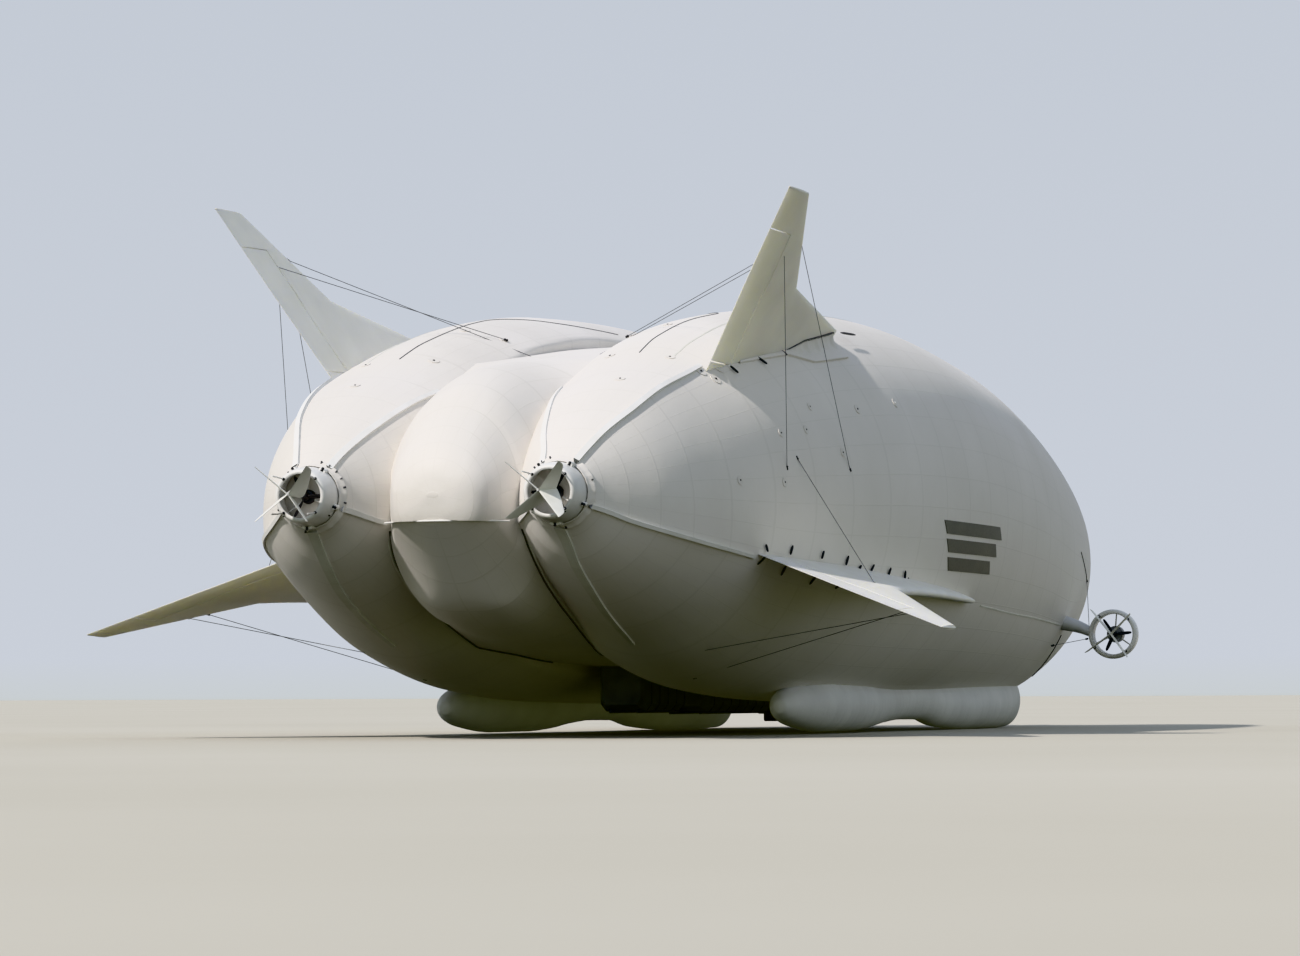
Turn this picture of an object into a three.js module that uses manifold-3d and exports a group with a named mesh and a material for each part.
// A three-lobed hybrid airship as it stands parked on its two air-cushion skids, as a 1:10 scale model.
// Frame: +X to starboard, +Y to the nose, +Z up. The origin is on the ground under the middle of the hull.
// The tables give the real airship in metres. One real metre is MM_PER_REAL_M millimetres here.
import * as THREE from 'three';
import { mergeVertices } from 'three/addons/utils/BufferGeometryUtils.js';
import Module from 'manifold-3d';

const wasm = await Module();
wasm.setup();

const MM_PER_REAL_M = 100;
const GAP = 0.3;                // between pieces that touch, mm
const HULL_WALL = 10;           // thickness of the fabric envelope, mm
const SEPTUM_AT = 3.0;          // where the centre lobe meets the outer lobes, real m from the middle
const CENTRE_SIDES = 32;        // facets around the centre lobe

// One outer lobe. Columns: along, outer edge, inner edge, top, bottom, real m.
const OUTER_LOBE = [
  [-43.1, 7.62, 4.68, 12.83, 9.89],
  [-42.2, 8.20, 4.25, 13.62, 9.22],
  [-41.0, 9.10, 3.45, 14.60, 8.20],
  [-39.0, 10.40, 2.40, 15.80, 7.00],
  [-36.5, 11.40, 1.40, 17.00, 5.90],
  [-33.0, 12.40, 0.35, 18.15, 4.75],
  [-28.0, 13.20, -0.80, 19.65, 3.30],
  [-21.0, 14.20, -1.90, 21.10, 2.20],
  [-12.0, 15.35, -2.40, 22.10, 1.75],
  [0.0, 15.60, -2.40, 22.50, 1.60],
  [15.0, 14.95, -1.70, 21.80, 1.55],
  [28.0, 14.07, -0.05, 19.95, 1.50],
  [37.0, 13.15, 1.65, 17.30, 3.00],
  [42.0, 11.15, 3.25, 15.10, 5.20],
  [45.0, 8.80, 5.15, 12.90, 8.40],
  [46.3, 7.62, 6.28, 11.78, 9.88],
  [46.85, 7.15, 6.75, 11.25, 10.45],
];
const OUTER_SECTIONS = [-43.1, -42.2, -41.0, -39.4, -37.5, -35.0, -31.5, -27.0, -20.0, -11.0, 0.0, 11.0,
  21.0, 29.0, 35.0, 39.5, 42.5, 44.6, 46.0, 46.85];

// The centre lobe. Columns: along, half height, least half width, real m.
const CENTRE_LOBE = [
  [-43.2, 1.00, 1.10],
  [-42.8, 1.90, 2.05],
  [-42.0, 2.80, 2.55],
  [-41.0, 3.70, 2.95],
  [-38.5, 5.40, 3.66],
  [-35.5, 6.30, 3.70],
  [-30.0, 7.00, 3.70],
  [-15.0, 8.30, 3.70],
  [0.0, 8.80, 3.70],
  [15.0, 8.60, 3.70],
  [28.0, 7.50, 3.70],
  [36.0, 5.90, 3.40],
  [40.0, 4.00, 2.80],
  [41.6, 2.40, 1.90],
  [42.4, 1.20, 1.00],
];
const CENTRE_SECTIONS = [-43.2, -42.8, -42.0, -41.0, -39.0, -36.0, -30.0, -22.0, -10.0, 0.0, 12.0, 22.0,
  30.0, 36.0, 40.0, 41.6, 42.4];
const FULLEST_MEETING = 0.985;  // the centre lobe meets the outer ones below this share of its half height

// The tail's fabric is drawn in between creases, which run at fixed places around an outer lobe.
// Angles in degrees around the lobe's ellipse, from outboard over the top, and facets up to the next crease.
const CREASES = [
  { angle: -92.0, facets: 5 },
  { angle: -23.5, facets: 7 },
  { angle: 62.0, facets: 5 },
  { angle: 124.0, facets: 6 },
  { angle: 200.0, facets: 5 },
];
// How far the fabric is drawn in, as a share of the way to a flat. Columns: along real m, share.
const DRAWN_IN = [[-43.1, 0.26], [-37.0, 0.26], [-29.0, 0.0]];

// The four tail fins, starboard side. An upper fin's plane leans out, a lower fin's plane droops.
// root: a point of the plane at its root line. out: the way that the span runs, both across and up.
// Edges columns: distance out along the span, leading edge, trailing edge, thickness, real m.
const FINS = {
  upper: {
    root: [9.60, 17.55],
    out: [5.08, 8.45],
    edges: [
      [-1.2, -14.9, -31.1, 0.55],
      [3.7, -14.9, -32.65, 0.50],
      [5.25, -25.1, -33.15, 0.44],
      [9.9, -31.1, -34.4, 0.26],
    ],
    control: { from: 0.65, to: 7.7, hinge: [[0.0, -28.75], [9.83, -31.5]] },
  },
  lower: {
    root: [10.20, 9.53],
    out: [9.36, -3.515],
    edges: [
      [-1.2, -1.5, -30.9, 0.75],
      [5.1, -2.0, -32.2, 0.60],
      [7.2, -22.8, -32.7, 0.46],
      [12.4, -31.2, -33.8, 0.26],
    ],
    control: { from: 2.6, to: 10.0, hinge: [[0.0, -28.3], [12.4, -31.4]] },
  },
};
const HINGE_GAP = 15;           // between a fin and its control surface, mm
const END_GAP = 8;              // at both ends of a control surface, mm

// The engines, starboard side. across, along and up place the hub where the four vanes meet, real m.
// Along the axis everything is measured from the hub towards the nose. duct: radius and distance, a closed
// outline. bell: the duct's inside where the struts end. rim: where the vanes' struts reach the duct.
// corners: where the vanes stand, degrees from outboard over the top. turns: of each about its back edge.
const ENGINES = {
  rear: {
    across: 6.12,
    along: -46.0,
    up: 11.36,
    duct: [[1.28, 2.897], [1.42, 2.897], [1.40, 2.30], [1.28, 1.62], [1.20, 1.47], [1.10, 1.44],
      [1.01, 1.50], [1.04, 1.66], [1.20, 2.14]],
    bell: 1.24,
    rim: { radius: 1.12, at: 1.44 },
    propeller: { at: 2.20, turned: 60 },
    nacelle: { from: 2.42, to: 2.84, struts: 2.62 },
    vane: { rootFrom: 0.0, rootTo: 1.40, tipFrom: -0.85, tipTo: -0.30 },
    corners: [45, 135, 225, 315],
    turns: [-12, 10, 12, 19],
  },
  forward: {
    across: 16.12,
    along: 29.0,
    up: 5.58,
    duct: [[1.23, 1.42], [1.33, 1.46], [1.42, 1.38], [1.48, 0.90], [1.48, 0.50], [1.38, 0.40], [1.27, 0.39],
      [1.21, 0.48], [1.20, 0.95]],
    bell: 1.20,
    rim: { radius: 1.32, at: 0.38 },
    propeller: { at: 0.85, turned: 5 },
    nacelle: { from: 1.07, to: 1.95, struts: 1.22 },
    vane: { rootFrom: -0.25, rootTo: 0.42, tipFrom: -0.80, tipTo: -0.30 },
    corners: [42, 126, 218, 309],
    turns: [0, 0, 0, 0],
  },
};
const PROPELLER_RADIUS = 1.10;
const VANE_REACH = 1.80;        // from the hub to a vane's tip
const VANE_ROOT = 0.04;         // from the hub to where the vanes start
const VANE_STRUT_REACH = 1.25;  // from the hub to where a strut meets a vane
const VANE_STRUT_CHORD = 0.85;  // share of the vane's chord there, from its back edge
const VANE_HUB = [[0, -0.08], [0.07, -0.05]];   // radius and distance behind the vanes' roots
const VANE_HALF_THICK = 3.5;    // mm, also the radius of a vane's strut

// Skids. Columns: along, half width, bottom, top, real m.
const SKID_ACROSS = 9.05;
const SKID = [
  [-17.3, 0.30, 1.15, 1.75],
  [-16.65, 0.70, 0.75, 2.20],
  [-14.6, 1.15, 0.38, 2.60],
  [-10.3, 1.40, 0.10, 3.00],
  [-4.7, 1.35, 0.10, 3.00],
  [-1.2, 1.15, 0.22, 2.90],
  [2.3, 0.95, 0.48, 2.80],
  [6.1, 0.90, 0.64, 2.80],
  [9.8, 0.92, 0.62, 2.80],
  [13.6, 1.10, 0.22, 2.80],
  [19.6, 1.35, 0.00, 2.90],
  [25.9, 1.42, 0.00, 3.10],
  [30.2, 1.20, 0.06, 3.30],
  [32.3, 0.40, 0.70, 2.40],
];

const PAINTS = {
  envelope: { color: 0xe9e5dc, roughness: 0.62, metalness: 0 },
  fin: { color: 0xdfddd6, roughness: 0.55, metalness: 0 },
  duct: { color: 0xf0efec, roughness: 0.35, metalness: 0 },
  blade: { color: 0x17181a, roughness: 0.4, metalness: 0 },
  engine: { color: 0x2c2e31, roughness: 0.5, metalness: 0.4 },
  skid: { color: 0xa9acac, roughness: 0.7, metalness: 0 },
  cabin: { color: 0xe4e4e0, roughness: 0.4, metalness: 0 },
  glass: { color: 0x1e262c, roughness: 0.08, metalness: 0 },
  metal: { color: 0xb9bdc0, roughness: 0.4, metalness: 0.8 },
};

const airship = new THREE.Group();

function mm(real) {
  return real * MM_PER_REAL_M;
}

// A smooth curve through a table's column that never overshoots between two rows: a monotone cubic.
function smooth(table, column, at) {
  const x = table.map((row) => row[0]);
  const y = table.map((row) => row[column]);
  const last = x.length - 1;
  if (at <= x[0]) return y[0];
  if (at >= x[last]) return y[last];
  const step = x.slice(1).map((v, i) => v - x[i]);
  const rise = step.map((v, i) => (y[i + 1] - y[i]) / v);
  const slope = x.map((v, i) => {
    if (i === 0) return rise[0];
    if (i === last) return rise[last - 1];
    if (rise[i - 1] * rise[i] <= 0) return 0;
    const before = 2 * step[i] + step[i - 1];
    const after = step[i] + 2 * step[i - 1];
    return (before + after) / (before / rise[i - 1] + after / rise[i]);
  });
  const i = x.findIndex((v) => v > at) - 1;
  const t = (at - x[i]) / step[i];
  return (2 * t ** 3 - 3 * t ** 2 + 1) * y[i] + (t ** 3 - 2 * t ** 2 + t) * step[i] * slope[i]
    + (3 * t ** 2 - 2 * t ** 3) * y[i + 1] + (t ** 3 - t ** 2) * step[i] * slope[i + 1];
}

// A closed body over rings of points that follow each other, with a flat cap on the first and the last.
function loft(rings) {
  const count = rings[0].length;
  const points = rings.flat(2);
  const faces = [];
  for (let r = 0; r < rings.length - 1; r += 1) {
    for (let k = 0; k < count; k += 1) {
      const a = r * count + k;
      const b = r * count + (k + 1) % count;
      faces.push(a, b, b + count, a, b + count, a + count);
    }
  }
  const end = (rings.length - 1) * count;
  for (let k = 1; k < count - 1; k += 1) {
    faces.push(0, k + 1, k, end, end + k, end + k + 1);
  }
  const geometry = new THREE.BufferGeometry();
  geometry.setAttribute('position', new THREE.Float32BufferAttribute(points, 3));
  geometry.setIndex(faces);
  return facingOut(geometry);
}

function signedVolume(geometry) {
  const position = geometry.attributes.position;
  const index = geometry.index.array;
  const [a, b, c] = [new THREE.Vector3(), new THREE.Vector3(), new THREE.Vector3()];
  let sum = 0;
  for (let i = 0; i < index.length; i += 3) {
    a.fromBufferAttribute(position, index[i]);
    b.fromBufferAttribute(position, index[i + 1]);
    c.fromBufferAttribute(position, index[i + 2]);
    sum += a.dot(b.cross(c));
  }
  return sum;
}

function flipped(geometry) {
  const index = geometry.index.array;
  for (let i = 0; i < index.length; i += 3) {
    [index[i + 1], index[i + 2]] = [index[i + 2], index[i + 1]];
  }
  return geometry;
}

function facingOut(geometry) {
  return signedVolume(geometry) < 0 ? flipped(geometry) : geometry;
}

function solidOf(source) {
  const geometry = source.clone();
  geometry.deleteAttribute('normal');
  geometry.deleteAttribute('uv');
  const merged = facingOut(mergeVertices(geometry, 1e-3));
  return new wasm.Manifold(new wasm.Mesh({
    numProp: 3,
    vertProperties: new Float32Array(merged.attributes.position.array),
    triVerts: new Uint32Array(merged.index.array),
  }));
}

function geometryOf(solid) {
  const mesh = solid.getMesh();
  const geometry = new THREE.BufferGeometry();
  geometry.setAttribute('position', new THREE.BufferAttribute(new Float32Array(mesh.vertProperties), 3));
  geometry.setIndex(new THREE.BufferAttribute(new Uint32Array(mesh.triVerts), 1));
  return geometry;
}

function largest(solid) {
  return solid.decompose().sort((a, b) => b.volume() - a.volume())[0];
}

function box(low, high) {
  const size = high.map((v, i) => v - low[i]);
  const geometry = new THREE.BoxGeometry(...size);
  geometry.translate(...low.map((v, i) => v + size[i] / 2));
  return solidOf(geometry);
}

// A straight round bar between two points.
function bar(from, to, radius) {
  const start = new THREE.Vector3(...from);
  const run = new THREE.Vector3(...to).sub(start);
  const geometry = new THREE.CylinderGeometry(radius, radius, run.length(), ROD_SIDES);
  geometry.translate(0, run.length() / 2, 0);
  geometry.applyQuaternion(new THREE.Quaternion().setFromUnitVectors(
    new THREE.Vector3(0, 1, 0), run.clone().normalize()));
  geometry.translate(...from);
  return solidOf(geometry);
}

// A body turned about an axis along Y. The profile's columns are radius and distance along the axis.
function turned(profile, centre, sides) {
  const geometry = new THREE.LatheGeometry(profile.map(([r, y]) => new THREE.Vector2(r, y)), sides);
  geometry.translate(...centre);
  return solidOf(geometry);
}

function mirrored(solid) {
  return solid.mirror([1, 0, 0]);
}

function addPart(name, solid, paint) {
  const material = new THREE.MeshStandardMaterial({ ...PAINTS[paint], side: THREE.FrontSide });
  const mesh = new THREE.Mesh(geometryOf(solid), material);
  mesh.name = name;
  airship.add(mesh);
}

function addPair(name, solid, paint) {
  addPart(`${name}_starboard`, solid, paint);
  addPart(`${name}_port`, mirrored(solid), paint);
}

function ellipse(centreX, halfX, along, centreZ, halfZ, sides) {
  return Array.from({ length: sides }, (_, k) => {
    const angle = 2 * Math.PI * (k + 0.5) / sides;
    return [centreX + halfX * Math.cos(angle), along, centreZ + halfZ * Math.sin(angle)];
  });
}

// An outer lobe's section at a place along the hull: its middle and half sizes, real m.
function outerSection(at) {
  const [outer, inner, top, bottom] = [1, 2, 3, 4].map((column) => smooth(OUTER_LOBE, column, at));
  return { x: (outer + inner) / 2, a: (outer - inner) / 2, z: (top + bottom) / 2, b: (top - bottom) / 2 };
}

// The centre lobe is as wide as it takes to meet the outer lobes at their height over the septum.
function centreSection(at) {
  const outer = outerSection(at);
  const b = smooth(CENTRE_LOBE, 1, at);
  const least = smooth(CENTRE_LOBE, 2, at);
  const across = (outer.x - SEPTUM_AT) / outer.a;
  const meets = outer.b * Math.sqrt(Math.max(0, 1 - across ** 2));
  const share = Math.min(meets / b, FULLEST_MEETING);
  return { x: 0, a: Math.max(least, share > 0 ? SEPTUM_AT / Math.sqrt(1 - share ** 2) : 0), z: outer.z, b };
}

// A unit circle whose arcs between the creases are drawn in by a share of the way to their chords.
function creasedCircle(share) {
  return CREASES.flatMap(({ angle, facets }, i) => {
    const next = i + 1 < CREASES.length ? CREASES[i + 1].angle : CREASES[0].angle + 360;
    const [from, to] = [angle, next].map((degrees) => degrees * Math.PI / 180);
    return Array.from({ length: facets }, (_, k) => {
      const part = k / facets;
      const turn = from + (to - from) * part;
      const chord = [Math.cos, Math.sin].map((f) => f(from) + (f(to) - f(from)) * part);
      return [Math.cos(turn), Math.sin(turn)].map((v, side) => v + (chord[side] - v) * share);
    });
  });
}

// The rings of a lobe. The inset moves them inwards for its hollow, or outwards where it is negative.
function lobeRings(sectionAt, sections, inset, circleAt) {
  return sections.map((at, i) => {
    const { x, a, z, b } = sectionAt(at);
    const end = i === 0 ? inset : i === sections.length - 1 ? -inset : 0;
    return circleAt(at).map(([across, high]) => [mm(x) + across * (mm(a) - inset), mm(at) + end,
      mm(z) + high * (mm(b) - inset)]);
  });
}

function outerRings(inset) {
  return lobeRings(outerSection, OUTER_SECTIONS, inset, (at) => creasedCircle(smooth(DRAWN_IN, 1, at)));
}

function centreRings(inset) {
  const circle = Array.from({ length: CENTRE_SIDES }, (_, k) => 2 * Math.PI * (k + 0.5) / CENTRE_SIDES)
    .map((turn) => [Math.cos(turn), Math.sin(turn)]);
  return lobeRings(centreSection, CENTRE_SECTIONS, inset, () => circle);
}

const FAR = 20000;
const septum = mm(SEPTUM_AT);
const outerFull = solidOf(loft(outerRings(0)));
const outerSkin = solidOf(loft(outerRings(-GAP)));
const centreFull = solidOf(loft(centreRings(0)));
const centreSkin = solidOf(loft(centreRings(-GAP)));
const outboard = box([septum + GAP / 2, -FAR, -FAR], [FAR, FAR, FAR]);
const middle = box([-septum + GAP / 2, -FAR, -FAR], [septum - GAP / 2, FAR, FAR]);
const starboardLobe = outerFull.intersect(outboard);
const centreLobe = centreFull.intersect(middle);
// What the hull takes up, with the touching gap around it. Everything fixed to the hull is cut by this.
const hullSpace = outerSkin.add(mirrored(outerSkin)).add(centreSkin.intersect(middle));

function addHull() {
  const outerHollow = solidOf(loft(outerRings(HULL_WALL)));
  const centreHollow = solidOf(loft(centreRings(HULL_WALL)));
  addPair('hull_lobe', starboardLobe.subtract(outerHollow), 'envelope');
  addPart('hull_centre_lobe', centreLobe.subtract(centreHollow), 'envelope');
}

// A fin's own frame: span out along the fin, along the hull, and square to its plane.
function finFrame(fin) {
  const out = new THREE.Vector3(fin.out[0], 0, fin.out[1]).normalize();
  const square = new THREE.Vector3(-out.z, 0, out.x);
  const origin = new THREE.Vector3(mm(fin.root[0]), 0, mm(fin.root[1]));
  return (span, along, lift = 0) => origin.clone()
    .addScaledVector(out, mm(span))
    .addScaledVector(square, mm(lift))
    .add(new THREE.Vector3(0, mm(along), 0))
    .toArray();
}

// A fin's section. Columns: share of the chord from the leading edge, share of the half thickness.
const FIN_SECTION = [[0, 0.12], [0.12, 0.75], [0.35, 1], [0.7, 0.72], [1, 0.14], [1, -0.14], [0.7, -0.72],
  [0.35, -1], [0.12, -0.75], [0, -0.12]];

function finBody(fin) {
  const place = finFrame(fin);
  return solidOf(loft(fin.edges.map(([span, lead, trail, thick]) => {
    const chord = lead - trail;
    const half = thick / 2;
    return FIN_SECTION.map(([back, high]) => place(span, lead - back * chord, high * half));
  })));
}

const FIN_BLOCK = 3;            // half thickness of the blocks that cut the fins, real m
const BEHIND_FINS = -40;        // a place along, behind every fin, real m

// A block over a part of the fin's plane, through its thickness. Corners are span and along.
function finRegion(fin, corners) {
  const place = finFrame(fin);
  const ringAt = (lift) => corners.map(([span, along]) => place(span, along, lift));
  const rings = [-FIN_BLOCK, FIN_BLOCK].map(ringAt);
  return solidOf(loft(rings));
}

function hingeAt(fin, span) {
  const [[s0, a0], [s1, a1]] = fin.control.hinge;
  return a0 + (a1 - a0) * (span - s0) / (s1 - s0);
}

function addFin(name, fin) {
  const body = finBody(fin).subtract(hullSpace);
  const { from, to } = fin.control;
  const end = END_GAP / MM_PER_REAL_M;
  const open = HINGE_GAP / MM_PER_REAL_M;
  const cut = finRegion(fin, [[from - end, hingeAt(fin, from - end) + open],
    [to + end, hingeAt(fin, to + end) + open], [to + end, BEHIND_FINS], [from - end, BEHIND_FINS]]);
  const kept = finRegion(fin, [[from, hingeAt(fin, from)], [to, hingeAt(fin, to)], [to, BEHIND_FINS],
    [from, BEHIND_FINS]]);
  addPair(`${name}_fin`, largest(body.subtract(cut)), 'fin');
  addPair(`${name}_control_surface`, largest(body.intersect(kept)), 'fin');
}

// A nacelle's radius, the radii of its back and nose, and the length of the rounding at both, real m.
const NACELLE = { radius: 0.38, back: 0.34, backRound: 0.06, nose: 0.24, noseRound: 0.12 };
// Struts: radius in mm, place of the nacelle's first one in degrees, and the reach into the duct in real m.
const STRUT = { radius: 4, first: 85, into: 0.1 };
// Columns: radius, distance from the middle of the propeller, real m.
const SPINNER = [[0, -0.16], [0.10, -0.14], [0.17, 0.0], [0.19, 0.06], [0.19, 0.16], [0, 0.16]];
const DUCT_SIDES = 28;
const NACELLE_SIDES = 12;
const ROD_SIDES = 6;
const THIRDS = [0, 120, 240];

// A point at a radius, an angle and a distance along an engine's axis, mm.
function aroundAxis(hub, radius, degrees, along) {
  const turn = degrees * Math.PI / 180;
  return [hub[0] + mm(radius) * Math.cos(turn), hub[1] + mm(along), hub[2] + mm(radius) * Math.sin(turn)];
}

function turnedReal(profile, hub, sides) {
  return turned(profile.map(([radius, along]) => [mm(radius), mm(along)]), hub, sides);
}

// A duct ring, its engine nacelle on three struts, the propeller and the four vanes behind it.
function addEngine(name, engine) {
  const hub = [mm(engine.across), mm(engine.along), mm(engine.up)];
  const { propeller, nacelle } = engine;
  const { radius, back, backRound, nose, noseRound } = NACELLE;
  const duct = turnedReal([...engine.duct, engine.duct[0]], hub, DUCT_SIDES);
  let mount = turnedReal([[0, nacelle.from], [back, nacelle.from], [radius, nacelle.from + backRound],
    [radius, nacelle.to - noseRound], [nose, nacelle.to], [0, nacelle.to]], hub, NACELLE_SIDES);
  for (const third of THIRDS) {
    const angle = STRUT.first + third;
    mount = mount.add(bar(aroundAxis(hub, nose, angle, nacelle.struts),
      aroundAxis(hub, engine.bell + STRUT.into, angle, nacelle.struts), STRUT.radius));
  }
  const ductSpace = turnedReal(grown(engine.duct), hub, DUCT_SIDES);
  const spinner = turnedReal(SPINNER.map(([r, y]) => [r, y + propeller.at]), hub, NACELLE_SIDES);
  const blades = THIRDS.map((third) => blade(hub, propeller.at, propeller.turned + third));
  addPair(`${name}_duct`, duct, 'duct');
  addPair(`${name}_engine`, largest(mount.subtract(ductSpace)), 'engine');
  addPair(`${name}_propeller`, blades.reduce((all, one) => all.add(one), spinner), 'blade');
  addPair(`${name}_vanes`, vaneCross(hub, engine), 'duct');
}

// A closed outline moved outwards by the touching gap, each corner along the mean of its sides' normals.
function grown(outline) {
  const gap = GAP / MM_PER_REAL_M;
  const count = outline.length;
  const turns = outline.reduce((sum, [r, y], i) => {
    const [nextR, nextY] = outline[(i + 1) % count];
    return sum + r * nextY - nextR * y;
  }, 0);
  const normal = ([r0, y0], [r1, y1]) => {
    const length = Math.hypot(r1 - r0, y1 - y0) * Math.sign(turns);
    return [(y1 - y0) / length, (r0 - r1) / length];
  };
  const wider = outline.map((point, i) => {
    const before = normal(outline[(i + count - 1) % count], point);
    const after = normal(point, outline[(i + 1) % count]);
    const sum = [before[0] + after[0], before[1] + after[1]];
    const reach = 2 * gap / (sum[0] ** 2 + sum[1] ** 2);
    return [point[0] + sum[0] * reach, point[1] + sum[1] * reach];
  });
  return [...wider, wider[0]];
}

// One propeller blade as a loft of four-cornered sections whose twist falls towards the tip.
// Columns: share of the radius, chord, thickness, twist in degrees.
const BLADE = [
  [0.08, 0.12, 0.06, 50],
  [0.35, 0.24, 0.05, 38],
  [0.7, 0.22, 0.035, 26],
  [1.0, 0.12, 0.02, 18],
];

function blade(hub, at, angle) {
  const turn = new THREE.Matrix4().makeRotationY(-angle * Math.PI / 180);
  return solidOf(loft(BLADE.map(([share, chord, thick, twist]) => {
    const t = twist * Math.PI / 180;
    return [[0.5, 0], [0, 0.5], [-0.5, 0], [0, -0.5]].map(([u, v]) => {
      const wide = mm(u * chord);
      const deep = mm(v * thick);
      const p = new THREE.Vector3(mm(share * PROPELLER_RADIUS), wide * Math.sin(t) + deep * Math.cos(t),
        wide * Math.cos(t) - deep * Math.sin(t));
      p.applyMatrix4(turn);
      return [p.x + hub[0], p.y + hub[1] + mm(at), p.z + hub[2]];
    });
  })));
}

// A vane's section. Columns: share of the chord from the back edge, share of the half thickness.
const VANE_SECTION = [[1, 0.6], [0.5, 1], [0, 0.4], [0, -0.4], [0.5, -1], [1, -0.6]];
// The vanes' roots reach into the duct's mouth only within this radius, real m.
const MOUTH = { radius: 0.9, deep: 3 };

// Four swept vanes that meet at the hub, each on a strut from the duct's rim.
function vaneCross(hub, { vane, rim, corners, turns }) {
  const { rootFrom, rootTo, tipFrom, tipTo } = vane;
  const middle = [...VANE_HUB.map(([r, y]) => [r, rootFrom + y]), [VANE_HUB[1][0], rootTo], [0, rootTo]];
  let cross = turnedReal(middle, hub, NACELLE_SIDES);
  corners.forEach((angle, k) => {
    const turn = new THREE.Matrix4().makeRotationY(-angle * Math.PI / 180);
    const tilt = turns[k] * Math.PI / 180;
    // A point at a reach out and a share of the chord from the back edge, with an offset square to the vane.
    const place = (reach, share, offset) => {
      const out = (reach - VANE_ROOT) / (VANE_REACH - VANE_ROOT);
      const back = rootFrom + (tipFrom - rootFrom) * out;
      const depth = share * (rootTo - rootFrom + (tipTo - tipFrom - rootTo + rootFrom) * out);
      const swung = [mm(reach), mm(back + depth * Math.cos(tilt)), mm(depth * Math.sin(tilt)) + offset];
      return new THREE.Vector3(...swung).applyMatrix4(turn).add(new THREE.Vector3(...hub)).toArray();
    };
    const plate = solidOf(loft([VANE_ROOT, VANE_REACH].map((reach) => VANE_SECTION
      .map(([share, side]) => place(reach, share, side * VANE_HALF_THICK)))));
    const strut = bar(place(VANE_STRUT_REACH, VANE_STRUT_CHORD, 0),
      aroundAxis(hub, rim.radius, angle, rim.at + STRUT.into), VANE_HALF_THICK);
    cross = cross.add(plate).add(strut);
  });
  const behind = box([-FAR, -FAR, -FAR], [FAR, hub[1] + mm(rim.at) - GAP, FAR]);
  const inside = turnedReal([[0, 0], [MOUTH.radius, 0], [MOUTH.radius, MOUTH.deep], [0, MOUTH.deep]], hub,
    NACELLE_SIDES);
  return largest(cross.intersect(behind.add(inside)));
}

// The pylon of a forward engine, from inside the hull to inside the duct's wall.
// Columns: across, up from the hub, half depth along, half height, real m.
const PYLON = [
  [12.2, 0.92, 0.80, 0.58],
  [13.1, 0.70, 0.64, 0.46],
  [14.0, 0.45, 0.56, 0.38],
  [14.82, 0.12, 0.48, 0.31],
];
const PYLON_ALONG = 0.95;       // from the hub towards the nose
// Columns: share of the half depth, share of the half height.
const PYLON_SECTION = [[1, 0], [0.5, 1], [-0.5, 1], [-1, 0], [-0.5, -1], [0.5, -1]];

function addPylons() {
  const { across, along, up, duct } = ENGINES.forward;
  const hub = [mm(across), mm(along), mm(up)];
  const rings = PYLON.map(([x, lift, halfDeep, halfHigh]) => PYLON_SECTION
    .map(([y, h]) => [mm(x), mm(along + PYLON_ALONG + y * halfDeep), mm(up + lift + h * halfHigh)]));
  const pylon = solidOf(loft(rings)).subtract(hullSpace).subtract(turnedReal(grown(duct), hub, DUCT_SIDES));
  addPair('forward_pylon', largest(pylon), 'skid');
}

const SKID_SIDES = 16;

function addSkids() {
  const rings = SKID.map(([at, half, bottom, top]) => ellipse(mm(SKID_ACROSS), mm(half), mm(at),
    mm((bottom + top) / 2), mm((top - bottom) / 2) / Math.cos(Math.PI / SKID_SIDES), SKID_SIDES));
  addPair('skid', largest(solidOf(loft(rings)).subtract(hullSpace)), 'skid');
}

// The flight deck's outside under the hull. Columns: along, half width, floor, real m.
const CABIN = [
  [13.0, 1.30, 1.10],
  [13.6, 1.55, 0.95],
  [19.0, 1.55, 0.95],
  [20.2, 1.35, 1.05],
  [21.0, 0.80, 1.50],
];
const CABIN_HALF = 1.55;        // its greatest half width, real m
const CABIN_ROOF = 3.3;         // up inside the hull, real m
const CABIN_CEILING = 2.62;     // of the hollow inside, real m
const CABIN_WALL = 0.12;        // real m
// A cabin's or module's lower corners are cut: the share of the width that stays flat, and the cut's height
// in real m.
const KEEL = { flat: 0.8, cut: 0.35 };
const WINDOWS = { starts: [15.5, 16.6, 17.7], long: 0.85, sill: 1.75, head: 2.45 };
const QUARTER_WINDOWS = { from: 19.15, to: 20.05 };
const WINDSCREEN = { half: 1.2, from: 19.1, head: 2.5 };
const GLASS = { from: 15.3, low: 1.68, high: 2.58, thick: 0.06 };
const DOOR = { from: 14.0, to: 15.1, sill: 1.15, head: 2.55, jamb: 1.15, clear: 0.06 };

// A closed section across a cabin or module with its lower corners cut.
function keelRing(at, half, floor, top) {
  const corner = floor + KEEL.cut;
  const flat = half * KEEL.flat;
  return [[-half, corner], [-flat, floor], [flat, floor], [half, corner], [half, top], [-half, top]]
    .map(([x, z]) => [mm(x), mm(at), mm(z)]);
}

function cabinShape(inset) {
  return solidOf(loft(CABIN.map(([at, half, floor], i) => {
    const end = i === 0 ? inset : i === CABIN.length - 1 ? -inset : 0;
    return keelRing(at + end, half - inset, floor + inset, CABIN_ROOF);
  })));
}

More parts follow.
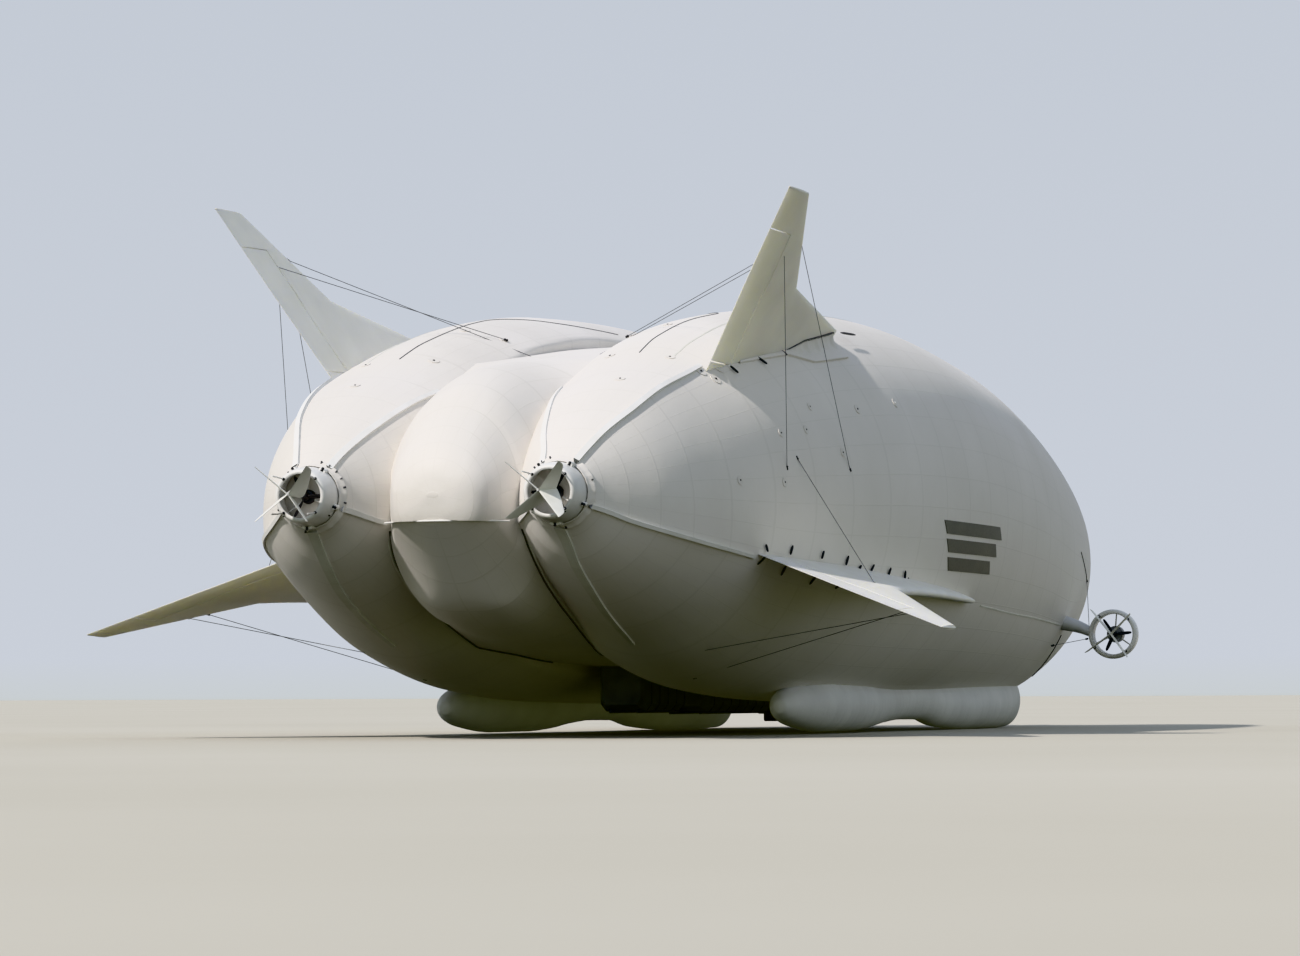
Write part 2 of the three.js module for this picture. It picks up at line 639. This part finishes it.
// The flight deck is hollow, with its windows cut, glazed, and a door at its port side.
function addCabin() {
  const shell = cabinShape(0).subtract(hullSpace)
    .subtract(cabinShape(CABIN_WALL).subtract(box([-FAR, -FAR, mm(CABIN_CEILING)], [FAR, FAR, FAR])));
  const { starts, long, sill, head } = WINDOWS;
  const cuts = starts.map((at) => box([-FAR, mm(at), mm(sill)], [FAR, mm(at + long), mm(head)]));
  cuts.push(box([-FAR, mm(QUARTER_WINDOWS.from), mm(sill)], [FAR, mm(QUARTER_WINDOWS.to), mm(head)]));
  cuts.push(box([mm(-WINDSCREEN.half), mm(WINDSCREEN.from), mm(sill)], [mm(WINDSCREEN.half), FAR,
    mm(WINDSCREEN.head)]));
  cuts.push(box([-FAR, mm(DOOR.from), mm(DOOR.sill)], [mm(-DOOR.jamb), mm(DOOR.to), mm(DOOR.head)]));
  addPart('flight_deck', largest(cuts.reduce((body, cut) => body.subtract(cut), shell)), 'cabin');
  const leaf = box([-FAR, mm(DOOR.from + DOOR.clear), mm(DOOR.sill + DOOR.clear)],
    [mm(CABIN_WALL - CABIN_HALF), mm(DOOR.to - DOOR.clear), mm(DOOR.head - DOOR.clear)]);
  addPart('flight_deck_door', shell.intersect(leaf), 'cabin');
  const seat = CABIN_WALL + GAP / MM_PER_REAL_M;
  const paneBand = box([-FAR, mm(GLASS.from), mm(GLASS.low)], [FAR, FAR, mm(GLASS.high)]);
  const panes = cabinShape(seat).subtract(cabinShape(seat + GLASS.thick)).intersect(paneBand);
  addPart('flight_deck_glazing', largest(panes), 'glass');
}

// The modules under the belly. Columns: name, back, front, half width, floor, real m.
const MODULES = [['payload_module', -5.0, 8.0, 1.5, 1.15], ['fuel_module', -15.5, -8.0, 1.35, 1.25]];
const MODULE = { top: 4.2, taper: 0.7, drawnIn: 0.3 };

function addBelly() {
  const { top, taper, drawnIn } = MODULE;
  for (const [name, back, front, half, floor] of MODULES) {
    const body = solidOf(loft([keelRing(back, half - drawnIn, floor + drawnIn, top),
      keelRing(back + taper, half, floor, top), keelRing(front - taper, half, floor, top),
      keelRing(front, half - drawnIn, floor + drawnIn, top)]));
    addPart(name, largest(body.subtract(hullSpace)), 'skid');
  }
}

// The mooring cone between the lobes' noses. Columns: radius, distance behind its tip, real m.
const NOSE_CONE = [[0, 0], [0.32, 0], [0.42, 0.3], [0.75, 2.2], [1.05, 3.0], [1.05, 4.0], [0, 4.0]];
const NOSE_TIP = 45.6;
const NOSE_SIDES = 20;

function addNose() {
  const { z } = centreSection(CENTRE_SECTIONS[CENTRE_SECTIONS.length - 1]);
  const profile = NOSE_CONE.map(([r, behind]) => [mm(r), mm(NOSE_TIP - behind)]);
  const cone = turned(profile, [0, 0, mm(z)], NOSE_SIDES);
  addPart('nose_mooring_cone', largest(cone.subtract(hullSpace)), 'metal');
}

addHull();
addFin('upper', FINS.upper);
addFin('lower', FINS.lower);
addEngine('rear', ENGINES.rear);
addEngine('forward', ENGINES.forward);
addPylons();
addSkids();
addCabin();
addBelly();
addNose();

export default airship;
